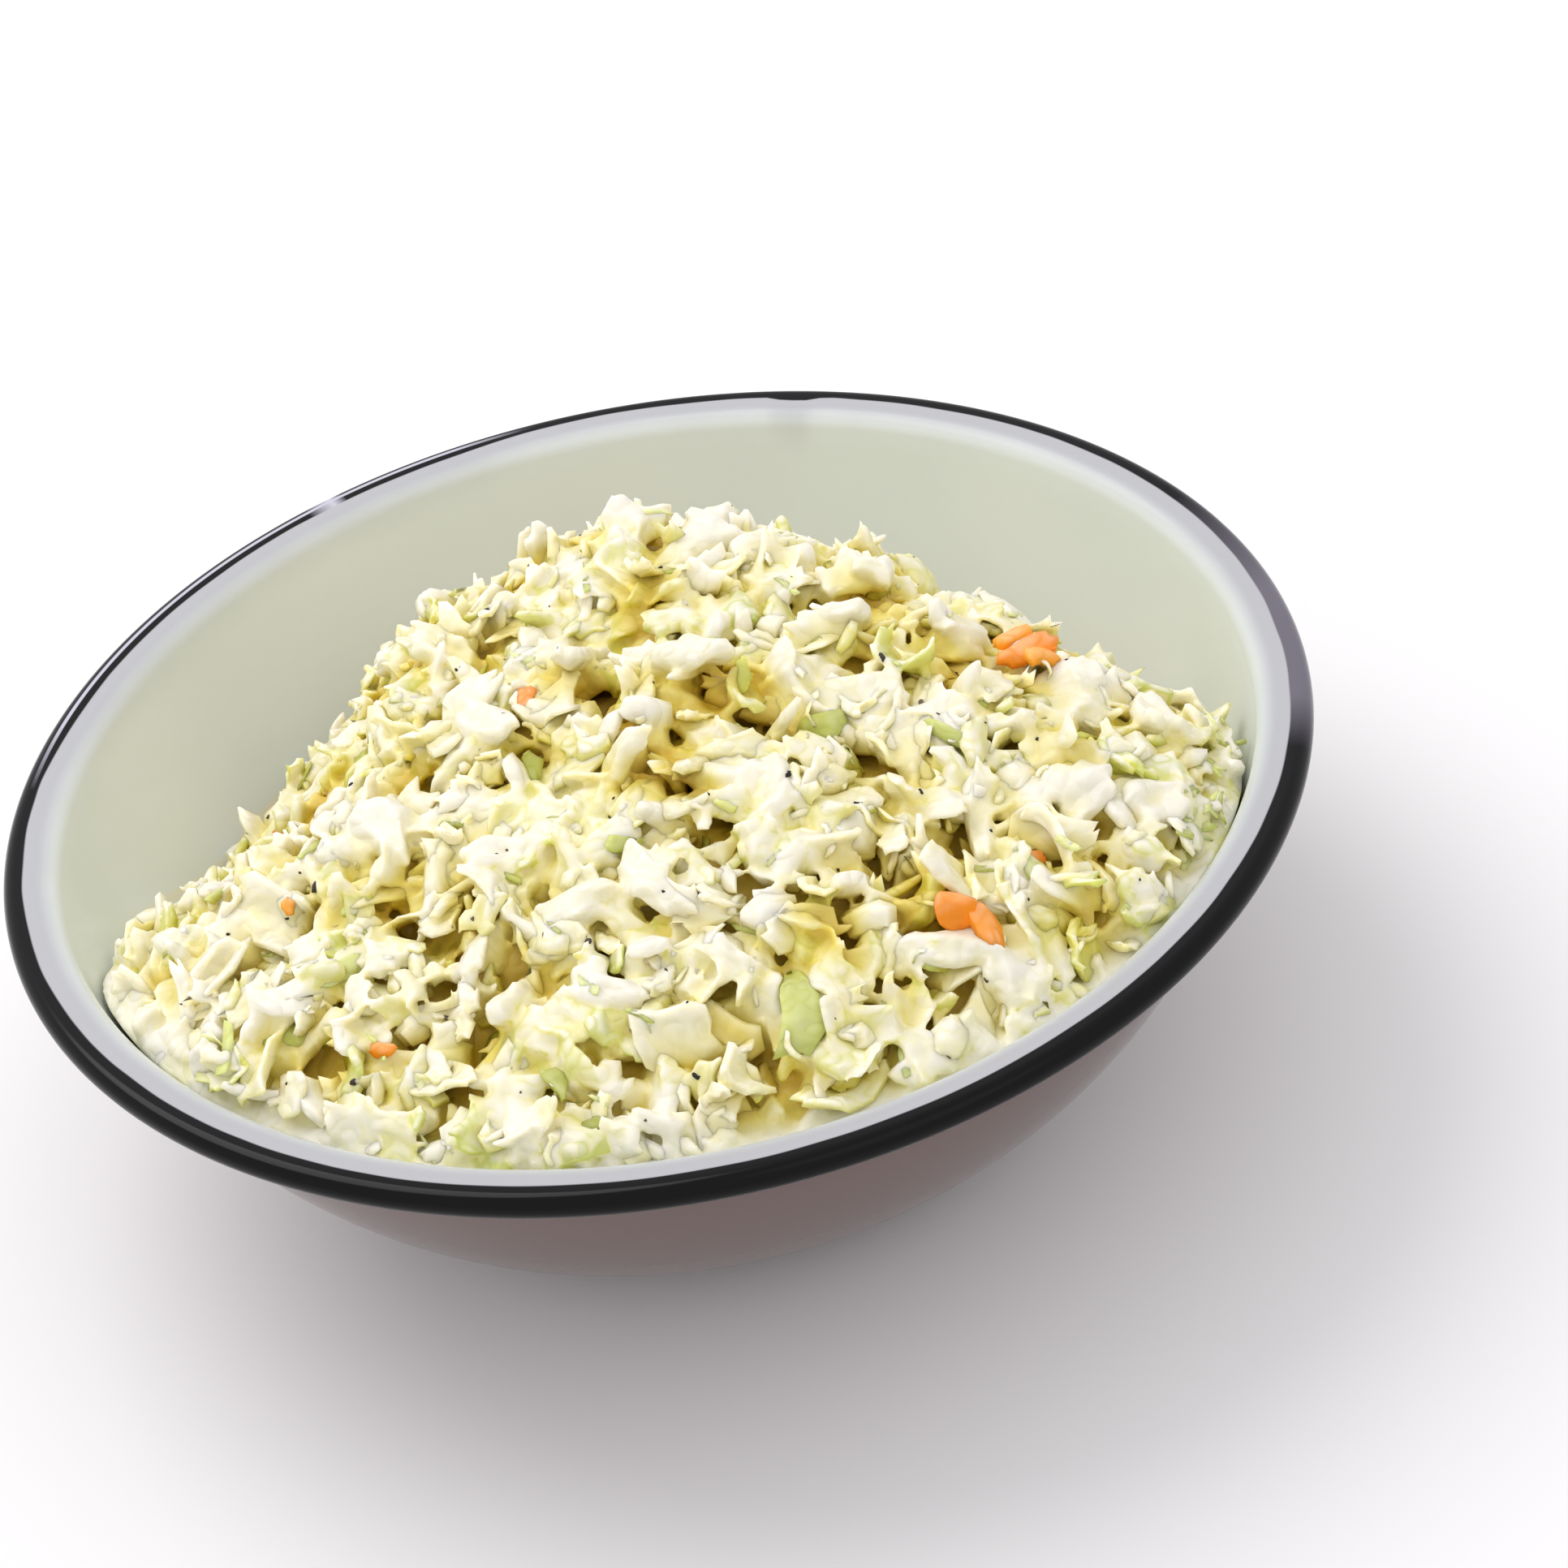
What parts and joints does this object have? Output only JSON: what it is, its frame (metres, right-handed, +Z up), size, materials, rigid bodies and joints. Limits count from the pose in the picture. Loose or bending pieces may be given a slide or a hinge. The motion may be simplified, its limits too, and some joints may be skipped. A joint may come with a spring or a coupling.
{
  "type": "bowl of coleslaw",
  "caption": "Finely chopped coleslaw in creamy dressing, heaped in a round white enamelled steel bowl with a black rolled rim.",
  "frame": {"origin": "centre of the bowl's flat base, on its underside", "axes": "+Z up along the bowl's axis; -Y towards the side where the slaw reaches the lip, +Y towards the side where it lies lowest"},
  "size_m": [0.24, 0.24, 0.1103],
  "materials": {
    "white_enamel": "gloss vitreous enamel on steel, black on the rolled edge",
    "dressed_slaw": "moist cabbage under a thin creamy dressing",
    "cabbage": "raw chopped cabbage, moist and slightly translucent",
    "green_cabbage": "raw outer cabbage leaf, moist",
    "carrot": "raw grated carrot, moist",
    "pepper": "ground black pepper"
  },
  "bodies": {
    "root": {"bowl": "white_enamel", "slaw": "dressed_slaw"}
  },
  "joints": []
}
